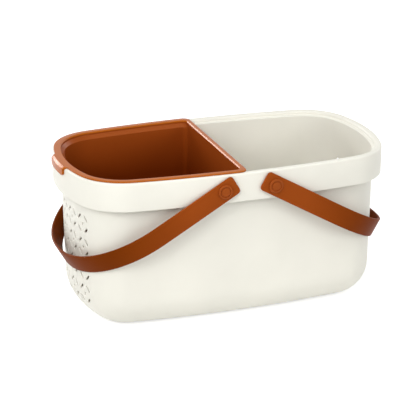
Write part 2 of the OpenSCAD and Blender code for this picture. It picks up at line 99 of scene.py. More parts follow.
class CaddyBasketSizes(bpy.types.PropertyGroup):
    """Sizes of the moulded basket."""

    long_bow: length("Long side bow", 0.017, "How far a long side bulges past its ends")
    end_bow: length("End bow", 0.0334, "How far an end bulges past its corners")
    corner_radius: length("Corner radius", 0.063, "Radius of the skirt's corners in plan")
    wall: length("Wall", 0.0022, "Thickness of the basket's wall")
    base: length("Base", 0.003, "Height of the floor's upper face")
    skirt_height: length("Skirt height", 0.0347, "Height of the skirt round the rim")
    body_inset: length("Body inset", 0.0106, "From the skirt's face in to the body's face under it")
    body_taper: length("Body taper", 0.002, "How far the body leans in on its way down")
    base_fillet: length("Base fillet", 0.04, "Radius where the body turns in to the base")
    rim_outer: length("Rim outer radius", 0.0025, "Rounding of the rim towards the skirt")
    rim_inner: length("Rim inner radius", 0.0035, "Rounding of the rim towards the inside")
    step: length("Rim step", 0.0036, "How far the inside of the rim steps out past the wall below it")
    step_drop: length("Step drop", 0.0045, "From the rim down to the step's outer edge")
    step_fall: length("Step fall", 0.0006, "How much lower the step is at its inner edge")
    step_round: length("Step rounding", 0.0009, "Rounding of the step's edge and of the corner behind it")
    lip: length("Skirt lip", 0.0008, "Rounding of the skirt's lower edge")
    foot: length("Foot ring", 0.0035, "Width of the ring that the basket stands on")
    recess: length("Foot recess", 0.0008, "Depth of the recess inside the foot ring")
    field_width: length("Pattern width", 0.112, "Width of the end wall that the slots are cut in")
    column_pitch: length("Column pitch", 0.0144, "From one column of slots to the next")
    row_pitch: length("Row pitch", 0.0149, "From one row of slots to the next")
    slot_length: length("Slot length", 0.0094, "Length of a slot over its round ends")
    slot_width: length("Slot width", 0.0028, "Width of a slot")
    dot: length("Dot size", 0.003, "Side of the square hole in the middle of four slots")
    top_row: length("Top row drop", 0.0215, "From the skirt's lower edge down to the top row of slots")
    drain: length("Drain diameter", 0.006, "Diameter of a drain hole in the floor")
    drain_pitch_x: length("Drain pitch along", 0.04, "Spacing of drain holes along the basket")
    drain_pitch_y: length("Drain pitch across", 0.028, "Spacing of drain holes across the basket")
    columns: IntProperty(name="Columns", description="Columns of slots", default=8, min=2, max=8)
    rows: IntProperty(name="Rows", description="Rows of slots", default=8, min=2, max=8)


class CaddyTraySizes(bpy.types.PropertyGroup):
    """Sizes of the lift-out tray."""

    wall: length("Wall", 0.0018, "Thickness of the tray's wall")
    flange: length("Flange", 0.0016, "Thickness of the flange on the rim")
    flange_inset: length("Flange inset", 0.002, "From the skirt's face in to the flange's edge")
    lip: length("Lip bevel", 0.0013, "Bevel from the flange down into the tray")
    clearance: length("Clearance", 0.0011, "Gap between the tray's wall and the basket's")
    step_clearance: length("Step clearance", 0.0005, "Gap between the tray and the rim above the step")
    step_slope: length("Step slope", 0.003, "How far the tray's step slopes down on the inside")
    taper: length("Taper", 0.0018, "How far the wall leans in over its depth")
    fillet: length("Foot fillet", 0.0045, "Rounding round the tray's underside")
    setback: length("Divider setback", 0.001, "From the basket's middle to the divider's edge")
    divider_flange: length("Divider flange", 0.006, "Width of the flange on the divider")
    divider_corner: length("Divider corner", 0.009, "Corner radius of the flange at the divider")
    divider_wall: length("Divider wall corner", 0.008, "Corner radius of the wall at the divider")
    tab_width: length("Tab width", 0.046, "Width of the thumb tab")
    tab_drop: length("Tab drop", 0.009, "How far the tab hangs below the rim")
    tab_thickness: length("Tab thickness", 0.0024, "Thickness of the tab")
    tab_gap: length("Tab gap", 0.0006, "From the skirt's face out to the tab")
    tab_bevel: length("Tab bevel", 0.0028, "Bevel along the tab's upper edge")
    tab_flare: length("Tab flare", 0.005, "Curve from the tab's side into the flange's edge")
    tab_corner: length("Tab corner", 0.003, "Corner radius of the tab's lower corners")
    drain: length("Drain diameter", 0.005, "Diameter of a drain hole in the tray's floor")
    drain_pitch: length("Drain pitch", 0.034, "Spacing of the tray's drain holes")


class CaddyHandleSizes(bpy.types.PropertyGroup):
    """Sizes of the two strap handles and their buttons."""

    thickness: length("Strap thickness", 0.0029, "Thickness of the strap")
    clearance: length("Strap clearance", 0.0008, "From the skirt's face out to the strap")
    grip_width: length("Grip width", 0.024, "Width of the strap at the grip")
    end_width: length("End width", 0.024, "Width of the strap at the pivot")
    tail: length("Tail", 0.0162, "From the pivot to the strap's tip")
    tail_radius: length("Tail radius", 0.0045, "Corner radius of the strap's tip")
    edge: length("Edge rounding", 0.0009, "Rounding along the strap's edges")
    arm_bow: length("Arm bow", 0.004, "How far an arm bulges")
    grip_bow: length("Grip bow", 0.048, "How far the grip bulges")
    corner_radius: length("Corner radius", 0.1027, "Radius where an arm turns into the grip")
    pivot_spread: length("Pivot spread", 0.0314, "From the basket's middle to a pivot")
    pivot_drop: length("Pivot drop", 0.0188, "From the rim down to the pivots")
    reach: length("Reach", 0.1942, "From a pivot to the far side of its grip")
    button: length("Button diameter", 0.0175, "Diameter of a pivot button")
    button_height: length("Button height", 0.0021, "How far a button stands off the strap")
    button_edge: length("Button edge", 0.0013, "Rounding of a button's edge")
    groove: length("Groove diameter", 0.0115, "Mean diameter of the ring in a button's face")
    groove_width: length("Groove width", 0.0013, "Width of that ring")
    groove_depth: length("Groove depth", 0.0009, "Depth of that ring")


class CaddyFinishes(bpy.types.PropertyGroup):
    """Colours and surface of the plastics. Some browns are painted light and shade: the straps' darkening
    towards the grips and the tray's towards its floor are painted shade, and the lighter brown of the tray's
    flange and tab is painted light.
    """

    cream: colour("Cream", (0.945, 0.937, 0.892), "Colour of the basket and the caps")
    brown: colour("Brown", (0.6, 0.28, 0.09), "Colour of the tray, the handles and the buttons")
    # Painted shade: the straps are darkened towards the grips, where they turn away from the lamps round the
    # corners.
    painted_grip_shade: colour("Painted shade of the grips", (0.45, 0.19, 0.012), "Colour that the straps deepen to")
    # Painted shade: the tray's inside is darkened towards its floor.
    painted_tray_floor_shade: colour("Painted shade inside the tray", (0.42, 0.16, 0.02), "Colour that the tray deepens to at its floor")
    # Painted light: the tray's flange and tab are lightened where they catch the light and its sheen.
    painted_rim_light: colour("Painted light on the rim", (0.7, 0.36, 0.04), "Colour of the tray's flange and tab")
    brown_gloss: colour("Gloss of the browns", (1, 0.55, 0.28), "Tint of what the browns mirror", "COLOR")
    # Where the straps' painted shade starts and where it is deepest.
    deepen_from: length("Deepening starts", 0.07, "From the middle to where the straps start to deepen")
    deepen_to: length("Deepening ends", 0.165, "From the middle to where the straps are deepest")
    cream_roughness: share("Cream roughness", 0.42, "How matt the cream plastic is")
    tray_roughness: share("Tray roughness", 0.25, "How matt the tray and the buttons are")
    strap_roughness: share("Strap roughness", 0.45, "How matt the straps are")
    grain: length("Grain", 0.0007, "Size of the fine grain of the moulds")


class CaddyStage(bpy.types.PropertyGroup):
    """Camera, lamps and floor."""

    azimuth: degrees("Azimuth", -19.939, "Camera's angle round the caddy")
    elevation: degrees("Elevation", 20.58, "Camera's angle above the floor")
    roll: degrees("Roll", 0.21, "Camera's turn about its own axis")
    distance: length("Distance", 2.220763, "From the camera to the point it looks at")
    lens: FloatProperty(name="Lens", description="Focal length in millimetres", default=156.89, min=1.0)
    aim: FloatVectorProperty(name="Aim", description="Point that the camera looks at", unit="LENGTH",
                             default=(-0.011963, 0.000002, 0.110832))
    key: watts("Key", 23.2, "Watts of the lamp at the front left")
    side: watts("Side", 6.0, "Watts of the lamp on the left")
    fill: watts("Fill", 11.5, "Watts of the lamp at the front right")
    over: watts("Over", 14.5, "Watts of the lamp overhead")
    rim: watts("Rim", 15.0, "Watts of the lamp behind, which lights the edges")
    back: watts("Back", 5.0, "Watts of the lamp at the back right")
    sky: FloatProperty(name="Sky", description="Strength of the even light from all round", default=0.15,
                       min=0.0)


# ---- plan outlines ----

def stacked(*values):
    """Values spread to one common shape and set side by side along a new last axis."""
    return np.stack(np.broadcast_arrays(*values), -1)


def lattice(x, y):
    """Every pair of an x and a y, with y changing fastest."""
    return stacked(*np.meshgrid(x, y, indexing="ij")).reshape(-1, 2)


def arc_radius(half_chord, bow):
    """Radius of an arc that rises by bow over half a chord: the sum of their squares over twice the bow."""
    return (half_chord ** 2 + bow ** 2) / (2 * bow)


def plan_arcs(half_x, half_y, long_bow, end_bow, corner):
    """Four bowed sides joined by corner arcs. A corner arc touches both neighbours from inside, so its
    centre is where two circles cross whose radii are the neighbours' less the corner's."""
    long_r, end_r = arc_radius(half_x, long_bow), arc_radius(half_y, end_bow)
    end_c, long_c = np.array([half_x - end_r, 0.0]), np.array([0.0, half_y - long_r])
    r1, r2 = end_r - corner, long_r - corner
    gap = long_c - end_c
    d = np.hypot(*gap)
    u = gap / d
    along = (r1 ** 2 - r2 ** 2 + d ** 2) / (2 * d)
    centre = end_c + along * u + math.sqrt(r1 ** 2 - along ** 2) * np.array([-u[1], u[0]])
    return SimpleNamespace(
        long_r=long_r, end_r=end_r, corner=corner, end_x=end_c[0], long_y=long_c[1], centre=centre,
        end_angle=math.atan2(*(centre - end_c)[::-1]), long_angle=math.atan2(*(centre - long_c)[::-1]))


def skirt_arcs(s, half_x, half_y):
    """The plan outline of the skirt's face."""
    return plan_arcs(half_x, half_y, s.long_bow, s.end_bow, s.corner_radius)


def end_rows(arcs, distance, inset):
    """Rows of (centre x, centre y, radius, angle) at distances along the face from the middle of the +X end.
    The angle is distance over radius on the end arc, and goes on in the same way on the corner arc."""
    size, sign = np.abs(distance), np.where(distance < 0, -1, 1)
    limit = arcs.end_angle * (arcs.end_r - inset)
    past = size > limit + ROUNDING
    angle = np.where(past, arcs.end_angle + (size - limit) / (arcs.corner - inset),
                     size / (arcs.end_r - inset))
    return stacked(np.where(past, arcs.centre[0], arcs.end_x),
                   np.where(past, arcs.centre[1], 0.0) * sign,
                   np.where(past, arcs.corner, arcs.end_r), angle * sign)


def quarter(arcs, end, corner_steps=CORNER_STEPS):
    """Rows from +X round to +Y, going on from the rows of the end: a point lies at centre + radius in the
    direction of angle, so that moving the outline inwards only takes the inset off the radius."""
    corner_angles = np.linspace(end[-1, 3], arcs.long_angle, corner_steps + 1)[1:]
    long_angles = np.linspace(arcs.long_angle, math.pi / 2, LONG_STEPS + 1)[1:]
    return np.vstack([end, stacked(*arcs.centre, arcs.corner, corner_angles),
                      stacked(0.0, arcs.long_y, arcs.long_r, long_angles)])


def whole(part):
    """A quarter mirrored to a half, and the half turned to a whole, with no point twice."""
    back = part[::-1][1:] * [-1, 1, 1, -1] + [0, 0, 0, math.pi]
    upper = np.vstack([part, back])
    lower = upper * [-1, -1, 1, 1] + [0, 0, 0, math.pi]
    return np.vstack([upper[:-1], lower[:-1]])


def swept(rows, inset, z):
    """Profile points (inset, z) carried round an outline: centre + (radius - inset) * direction, at z."""
    x, y, radius, angle = rows.T
    reach = radius - inset[:, None]
    return stacked(x + reach * np.cos(angle), y + reach * np.sin(angle), z[:, None])


def bend(cx, cy, r, start, end, steps):
    """Points of a circular arc, angles in degrees."""
    a = np.radians(np.linspace(start, end, steps + 1))
    return stacked(cx + r * np.cos(a), cy + r * np.sin(a))


def bevel(x, z, leg, soft):
    """Points over a square corner at (x, z) that is cut off at 45 degrees: a small arc from level to the
    slope, the flat slope, and a small arc from the slope to upright. Their leans follow in degrees."""
    tuck = soft * math.tan(math.radians(22.5))
    first = bend(x - leg - tuck, z - soft, soft, 90, 45, 4)
    last = bend(x - soft, z - leg - tuck, soft, 45, 0, 4)
    shares = np.array([[0.12], [0.5], [0.88]])
    slope = first[-1] + (last[0] - first[-1]) * shares
    lean = np.concatenate([np.linspace(90, 45, 5), [45, 45, 45], np.linspace(45, 0, 5)])
    return np.vstack([first, slope, last]), lean


# ---- meshes ----

def new_object(name, data):
    """An object that shows a mesh, a lamp or a camera in the scene."""
    thing = bpy.data.objects.new(name, data)
    bpy.context.scene.collection.objects.link(thing)
    return thing


class Skin:
    """Gathers grids and triangles into one mesh."""

    def __init__(self):
        self.points, self.faces, self.count = [], [], 0

    def add(self, points, faces):
        """Adds points of any grid shape, and faces that number them from nought."""
        points = np.asarray(points).reshape(-1, 3)
        self.points.append(points)
        self.faces.extend((np.asarray(faces) + self.count).tolist())
        self.count += len(points)

    def grid(self, points, keep=None, close_rows=False, close_columns=True):
        """Quads between neighbours of a grid of points (rows, columns), but not where keep is false."""
        rows, columns = points.shape[:2]
        k = np.arange(rows if close_rows else rows - 1)
        i = np.arange(columns if close_columns else columns - 1)
        k, i = np.meshgrid(k, i, indexing="ij")
        if keep is not None:
            k, i = k[keep], i[keep]
        k, i = k.ravel(), i.ravel()
        up, on = (k + 1) % rows, (i + 1) % columns
        self.add(points, stacked(k * columns + i, k * columns + on, up * columns + on, up * columns + i))

    def build(self, name):
        """The mesh as an object, with shared points merged and edges past the sharp angle kept crisp."""
        mesh = bpy.data.meshes.new(name)
        mesh.from_pydata(np.vstack(self.points).tolist(), [], self.faces)
        shape = bmesh.new()
        shape.from_mesh(mesh)
        bmesh.ops.remove_doubles(shape, verts=shape.verts, dist=MERGE_DISTANCE)
        bmesh.ops.dissolve_degenerate(shape, edges=shape.edges, dist=SLIVER)
        shape.to_mesh(mesh)
        shape.free()
        mesh.polygons.foreach_set("use_smooth", np.ones(len(mesh.polygons), bool))
        mesh.set_sharp_from_angle(angle=math.radians(SHARP_ANGLE))
        mesh.update()
        return new_object(name, mesh)


def flat_triangles(loops, inner):
    """Triangles of a flat convex sheet, given its rim loop, convex hole loops and loose inner points: a
    triangle whose three corners are all on one hole is inside that hole and is left out."""
    near, flat = 1e-6, 1e-9  # in millimetres and square millimetres
    points = np.vstack([*loops, inner]) * MILLIMETRES
    counts = [len(loop) for loop in loops]
    label = np.repeat([*range(len(loops)), -1], [*counts, len(inner)])
    start = np.cumsum([0, *counts])
    edges = np.vstack([stacked(np.arange(a, b), np.roll(np.arange(a, b), -1))
                       for a, b in zip(start, start[1:])])
    out = geometry.delaunay_2d_cdt([Vector(p) for p in points.tolist()], edges.tolist(), [], 0, near)
    if len(out[0]) != len(points):
        raise RuntimeError("a hole touches its neighbour or the rim")
    source = np.array([ids[0] for ids in out[3]])
    tri = source[np.array(out[2])]
    corner = label[tri]
    inside = (corner[:, 0] == corner[:, 1]) & (corner[:, 1] == corner[:, 2]) & (corner[:, 0] > 0)
    tri = tri[~inside]
    a, b, c = (points[tri[:, n]] for n in range(3))
    turn = (b[:, 0] - a[:, 0]) * (c[:, 1] - a[:, 1]) - (b[:, 1] - a[:, 1]) * (c[:, 0] - a[:, 0])
    tri[turn < 0] = tri[turn < 0][:, ::-1]
    return tri[np.abs(turn) > flat]


def pierced(skin, place, front_rim, back_rim, holes, inner):
    """A wall with holes through it. place(points, depth) puts flat points in space, depth 0 on the front
    face and 1 on the back. holes(grow) gives the hole loops, grown outwards. A hole's wall is a stack of
    rings, each with its share of the edge rounding and its depth, so that both its edges are soft."""
    wide = holes(HOLE_EDGE)
    for rim, depth, order in ((front_rim, 0.0, 1), (back_rim, 1.0, -1)):
        tri = flat_triangles([rim, *wide], inner)
        skin.add(place(np.vstack([rim, *wide, inner]), depth), tri[:, ::order])
    rings = [(1, 0.0), (0.3, 0.05), (0, 0.16), (0, 0.84), (0.3, 0.95), (1, 1.0)]
    stack = [[place(loop, depth) for loop in holes(HOLE_EDGE * grow)] for grow, depth in rings]
    for n in range(len(wide)):
        skin.grid(np.stack([ring[n] for ring in stack]))


def round_loop(centre, half, radius, turn=0.0, steps=5):
    """A rectangle with round corners, turned and put at a centre: with half (reach, 0) it is a slot."""
    corners = [(1, 1, 0), (-1, 1, 90), (-1, -1, 180), (1, -1, 270)]
    loop = np.vstack([bend(sx * half[0], sy * half[1], radius, a, a + 90, steps) for sx, sy, a in corners])
    keep = np.hypot(*(loop - np.roll(loop, 1, 0)).T) > SLIVER
    c, s = math.cos(turn), math.sin(turn)
    return loop[keep] @ np.array([[c, s], [-s, c]]) + centre


def settle(thing, material, body, nodes):
    """Gives a finished piece its material and its place in the frame."""
    thing.data.materials.append(material)
    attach(thing, body)
    if nodes:
        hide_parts(*nodes)
    return thing


# ---- basket ----

def basket_walls(s, height):
    """Insets of the outer and inner faces at a height: an arc for the base fillet, then a straight lean."""
    lip_z = height - s.skirt_height
    slope = s.body_taper / (lip_z - s.base_fillet)
    foot = s.body_inset + s.body_taper
    inner_r = s.base_fillet - s.wall
    inner_z = s.base + inner_r
    rim = s.body_inset + s.wall - slope * s.skirt_height

    def outer(z):
        drop = np.clip(s.base_fillet - z, 0, None)
        curved = foot + s.base_fillet - np.sqrt(s.base_fillet ** 2 - drop ** 2)
        return np.where(z < s.base_fillet, curved, s.body_inset + slope * (lip_z - z))

    def inner(z):
        drop = np.clip(inner_z - z, 0, None)
        curved = foot + s.base_fillet - np.sqrt(inner_r ** 2 - drop ** 2)
        straight = foot + s.wall + (rim - foot - s.wall) * (z - inner_z) / (height - s.rim_inner - inner_z)
        return np.where(z < inner_z, curved, straight)

    return outer, inner, rim


def basket_profile(s, height, field_z):
    """Profile (inset, z) up the outside, round skirt, rim and step, and down the inside; also the rows at
    which the outer and the inner stretch with the pattern start."""
    outer, inner, rim = basket_walls(s, height)
    r, r_in = s.base_fillet, s.base_fillet - s.wall
    centre = s.body_inset + s.body_taper + r
    lip_z, roof = height - s.skirt_height, height - s.wall
    low = math.degrees(math.asin((r - field_z[0]) / r))
    low_in = math.degrees(math.asin((r_in + s.base - field_z[0]) / r_in))
    ring = centre + s.foot
    step_z, step_roof, c = height - s.step_drop, height - s.step_drop - s.wall, s.step_round
    below = np.vstack([[[ring, s.recess], [ring, CHAMFER], [ring - CHAMFER, 0]],
                       bend(centre, r, r, -90, low - 180, 9)[:-1]])
    outside = stacked(outer(field_z), field_z)
    skirt = np.vstack([
        [[outer(lip_z), lip_z], [outer(step_roof), step_roof - s.step_fall],
         [outer(step_roof) - s.step, step_roof], [outer(roof) - s.step, roof], [s.wall, roof],
         [s.wall, lip_z + CHAMFER], [s.wall - CHAMFER, lip_z]],
        bend(s.lip, lip_z + s.lip, s.lip, -90, -180, 5),
        bend(s.rim_outer, height - s.rim_outer, s.rim_outer, 180, 90, 7),
        bend(rim - s.step - s.rim_inner, height - s.rim_inner, s.rim_inner, 90, 0, 8),
        bend(rim - s.step + c, step_z + c, c, -180, -90, 5),
        bend(rim - c, step_z - s.step_fall - c, c, 90, 0, 5)])
    inside = stacked(inner(field_z), field_z)[::-1]
    floor = bend(centre, s.base + r_in, r_in, low_in - 180, -90, 9)[1:]
    profile = np.vstack([below, outside, skirt, inside, floor])
    return profile, len(below), len(below) + len(outside) + len(skirt)


def slot_pattern(s, top_z):
    """Slots lean left and right in turn so that four make a diamond, with a square hole in its middle.
    Returns the slots' centres and leans, and the square holes' centres."""
    column, row = np.arange(s.columns), np.arange(s.rows)
    centres = lattice((column - (s.columns - 1) / 2) * s.column_pitch, top_z - row * s.row_pitch)
    leans = np.where(np.add.outer(column, row) % 2 == 0, 1, -1).ravel() * math.radians(45)
    column, row = 2 * np.arange(s.columns // 2), 2 * np.arange(s.rows // 2)
    dots = lattice((column - s.columns / 2 + 1) * s.column_pitch, top_z - (row + 0.5) * s.row_pitch)
    return centres, leans, dots


def clear_points(s, field, field_z, centres, leans, dots):
    """A lattice of points on the pattern's field that keeps clear of every hole."""
    spacing_x, spacing_z, clear = 0.0033, 0.0035, 0.001
    levels = int((field_z[-1] - field_z[0]) / spacing_z)
    grid = lattice(np.linspace(-field, field, int(2 * field / spacing_x) + 1)[1:-1],
                   np.linspace(field_z[0], field_z[-1], levels + 1)[1:-1])
    reach = (s.slot_length - s.slot_width) / 2
    axis = stacked(np.cos(leans), np.sin(leans))
    away = grid[:, None] - centres
    along = np.clip((away * axis).sum(2), -reach, reach)
    to_slot = np.linalg.norm(away - along[..., None] * axis, axis=2).min(1) - s.slot_width / 2
    to_dot = np.abs(grid[:, None] - dots).max(2).min(1) - s.dot / 2
    return grid[(to_slot > clear) & (to_dot > clear)]


def basket_skin(s, half_x, half_y, height):
    """The whole moulding: the profile round the outline, the pierced end walls and the pierced floor."""
    skin = Skin()
    arcs = skirt_arcs(s, half_x, half_y)
    field, columns = s.field_width / 2, 16
    top_z = height - s.skirt_height - s.top_row
    inner_z = s.base + s.base_fillet - s.wall
    margin_low, margin_high, band = 0.0053, 0.0055, 0.006
    low_z = top_z - (s.rows - 1) * s.row_pitch - margin_low
    field_z = np.concatenate([np.linspace(low_z, s.base_fillet, 5), [inner_z],
                              np.linspace(inner_z + band, top_z + margin_high, 14)])
    end = end_rows(arcs, np.linspace(0, field, columns + 1), s.body_inset)
    rows = whole(quarter(arcs, end))
    half = len(rows) // 2
    profile, outer_row, inner_row = basket_profile(s, height, field_z)
    surface = swept(rows, profile[:, 0], profile[:, 1])

    keep = np.ones((len(profile) - 1, len(rows)), bool)
    spans = len(field_z) - 1
    for first in (outer_row, inner_row):
        keep[first:first + spans, :columns] = keep[first:first + spans, -columns:] = False
        keep[first:first + spans, half - columns:half + columns] = False
    skin.grid(surface, keep)

    outer, inner, _ = basket_walls(s, height)
    centres, leans, dots = slot_pattern(s, top_z)
    reach = (s.slot_length - s.slot_width) / 2
    corner = 0.0004

    def pattern(grow):
        radius = s.slot_width / 2 + grow
        slots = [round_loop(c, (reach, 0), radius, lean, 4) for c, lean in zip(centres, leans)]
        squares = [round_loop(c, (s.dot / 2 - corner,) * 2, corner + grow, 0, 2) for c in dots]
        return slots + squares

    across = np.linspace(-field, field, 2 * columns + 1)
    rim = np.vstack([stacked(across, field_z[0]), stacked(field, field_z[1:]),
                     stacked(across[::-1][1:], field_z[-1]), stacked(-field, field_z[::-1][1:-1])])
    loose = clear_points(s, field, field_z, centres, leans, dots)
    for side in (1, -1):
        def on_wall(points, depth, side=side):
            """Distance along the wall and height, at a share of the way from the outer face to the inner."""
            x, y, radius, angle = end_rows(arcs, points[:, 0], s.body_inset).T
            face, back = outer(points[:, 1]), inner(points[:, 1])
            out = radius - (face + depth * (back - face))
            return stacked((x + out * np.cos(angle)) * side, (y + out * np.sin(angle)) * side, points[:, 1])
        pierced(skin, on_wall, rim, rim, pattern, loose)

    drains = hole_grid(0, 6, 3, s.drain_pitch_x, s.drain_pitch_y)
    pierced_floor(skin, surface[-1], surface[0], drains, s.drain / 2)
    return skin


def hole_grid(middle, columns, rows, pitch_x, pitch_y):
    """Centres of a grid of holes about a middle point."""
    return lattice(middle + (np.arange(columns) - (columns - 1) / 2) * pitch_x,
                   (np.arange(rows) - (rows - 1) / 2) * pitch_y)


def pierced_floor(skin, top_ring, bottom_ring, centres, radius):
    """A flat floor between two rings, with round drain holes."""
    top_z, bottom_z = top_ring[0, 2], bottom_ring[0, 2]

    def level(points, depth):
        return stacked(*points.T, top_z + depth * (bottom_z - top_z))

    def drains(grow):
        return [round_loop(c, (0, 0), radius + grow, 0, 6) for c in centres]

    pierced(skin, level, top_ring[:, :2], bottom_ring[:, :2], drains, np.zeros((0, 2)))


# ---- tray ----

def tray_rings(arcs, inset, edge_x, corner, z):
    """Rings round the basket's left half, closed by a straight divider at edge_x with corner arcs. Each row
    has its own inset, divider place, divider corner radius and height; the lower half mirrors the upper."""
    inset, edge_x, corner, z = (values[:, None] for values in (inset, edge_x, corner, z))
    long_r = arcs.long_r - inset
    cx = edge_x - corner
    cy = arcs.long_y + np.sqrt((long_r - corner) ** 2 - cx ** 2)
    turn = np.arctan2(cy - arcs.long_y, cx)
    left_long, left_end = math.pi - arcs.long_angle, math.pi - arcs.end_angle

    def arc(x, y, r, start, end, steps):
        a = start + (end - start) * np.linspace(0, 1, steps + 1)[1:]
        return stacked(x + r * np.cos(a), y + r * np.sin(a))

    upper = np.concatenate([
        stacked(edge_x, cy * np.linspace(0, 1, 11)),
        arc(cx, cy, corner, 0, turn, 9),
        arc(0, arcs.long_y, long_r, turn, left_long, LONG_STEPS),
        arc(-arcs.centre[0], arcs.centre[1], arcs.corner - inset, left_long, left_end, CORNER_STEPS),
        arc(-arcs.end_x, 0, arcs.end_r - inset, left_end, math.pi, 14)], 1)
    ring = np.concatenate([upper, upper[:, ::-1][:, 1:-1] * [1, -1]], 1)
    return stacked(ring[..., 0], ring[..., 1], z)


def tray_skin(t, s, half_x, half_y, height, low_z, top_z):
    """The tray's moulding: foot, outer wall, step, flange, bevelled lip, step, inner wall and inner foot,
    then the pierced floor. Above the step the wall stands further out, but not along the divider."""
    skin = Skin()
    arcs = skirt_arcs(s, half_x, half_y)
    rim = basket_walls(s, height)[2]
    wall_inset, divider_x = rim + t.clearance, -t.setback
    wall_x = divider_x - t.divider_flange + t.wall
    flange_z, soft, lip_soft, c = top_z - t.flange, 0.0005, 0.0004, s.step_round
    brow_inset, step_roof = rim - s.step + t.step_clearance, height - s.step_drop + t.step_clearance
    step_z = step_roof + t.wall

    def wall(points, inset=wall_inset):
        lean, z = points.T
        return stacked(inset + lean, wall_x - lean, t.divider_wall - lean, z)

    def brow(points):
        return wall(points, brow_inset)

    def step(inset, points):
        return stacked(inset + points[:, 0], wall_x - t.wall, t.divider_wall - t.wall, points[:, 1])

    def flange(points):
        trim, z = points.T
        return stacked(t.flange_inset + trim, divider_x - trim, t.divider_corner - trim, z)

    inner_r = t.fillet - t.wall
    rows = np.vstack([
        wall(bend(t.taper + t.fillet, low_z + t.fillet, t.fillet, -90, -180, 8)),
        wall(np.array([[0, step_roof - s.step_fall]])),
        brow(np.array([[0, step_roof], [0, flange_z]])),
        flange(bend(soft, flange_z + soft, soft, -90, -180, 3)),
        flange(bend(soft, top_z - soft, soft, 180, 90, 3)),
        brow(bevel(t.wall, top_z, t.lip, lip_soft)[0]),
        step(brow_inset, bend(t.wall + c, step_z + c, c, -180, -135, 2)),
        step(wall_inset, bend(t.wall - c, step_z - t.step_slope - c, c, 50, 0, 4)),
        wall(bend(t.taper + t.wall + inner_r, low_z + t.wall + inner_r, inner_r, -180, -90, 7))])
    surface = tray_rings(arcs, *rows.T)
    skin.grid(surface)
    drains = hole_grid((divider_x - half_x) / 2, 4, 4, t.drain_pitch, t.drain_pitch)
    pierced_floor(skin, surface[-1], surface[0], drains, t.drain / 2)
    return skin


def tab_skin(t, s, half_x, half_y, height, top_z):
    """A plate that runs out over the rim, slopes over and hangs in front of the skirt. It is as wide as the
    tab below, and its sides flare in a quarter circle into the flange's edge above, where it also draws
    back. Its top is a hair proud of the flange and its root lies inside it."""
    skin = Skin()
    arcs = skirt_arcs(s, half_x, half_y)
    proud, root_depth, tuck, soft = 0.00003, 0.003, 0.0002, 0.0008
    flats, drops = 5, 12
    out, top = t.tab_gap + t.tab_thickness, top_z + proud
    root, low = -t.flange_inset - root_depth, height - t.tab_drop
    over, over_lean = bevel(out, top, t.tab_bevel, soft)
    flat = stacked(np.linspace(root, over[0, 0], flats + 1)[:-1], top)
    face = stacked(out, np.linspace(over[-1, 1], low, drops + 1)[1:])
    outer = np.vstack([flat, over, face])
    lean = np.concatenate([np.full(flats, 90), over_lean, np.zeros(drops)])
    thick = t.flange + (t.tab_thickness - t.flange) * (1 - lean / 90)
    inner = outer - thick[:, None] * stacked(np.cos(np.radians(lean)), np.sin(np.radians(lean)))

    half, flare, corner = t.tab_width / 2, t.tab_flare, t.tab_corner
    z = outer[:, 1]
    rise = np.clip((z - (top - flare)) / flare, 0, 1)
    drop = np.clip(corner - (z - low), 0, corner)
    width = half + flare * (1 - np.sqrt(1 - rise ** 2)) - corner + np.sqrt(corner ** 2 - drop ** 2)
    across = np.sin(np.linspace(-math.pi / 2, math.pi / 2, 41))[None, :] * width[:, None]
    edge = -t.flange_inset - tuck
    past = np.clip((np.abs(across) - half) / flare, 0, 1)
    draw = (1 + np.cos(math.pi * past)) / 2

    def placed(path):
        reach, z = path[:, 0][:, None], path[:, 1][:, None]
        reach = np.where(reach > edge, edge + (reach - edge) * draw, reach) + arcs.end_r
        angle = math.pi + across / arcs.end_r
        return stacked(-arcs.end_x + reach * np.cos(angle), reach * np.sin(angle), z)

    front, back = placed(outer), placed(inner)
    skin.grid(np.concatenate([front[::-1], back]), close_rows=True, close_columns=False)
    skin.grid(np.stack([front[:, -1], back[:, -1]]), close_columns=False)
    skin.grid(np.stack([back[:, 0], front[:, 0]]), close_columns=False)
    return skin


# ---- handles and buttons ----

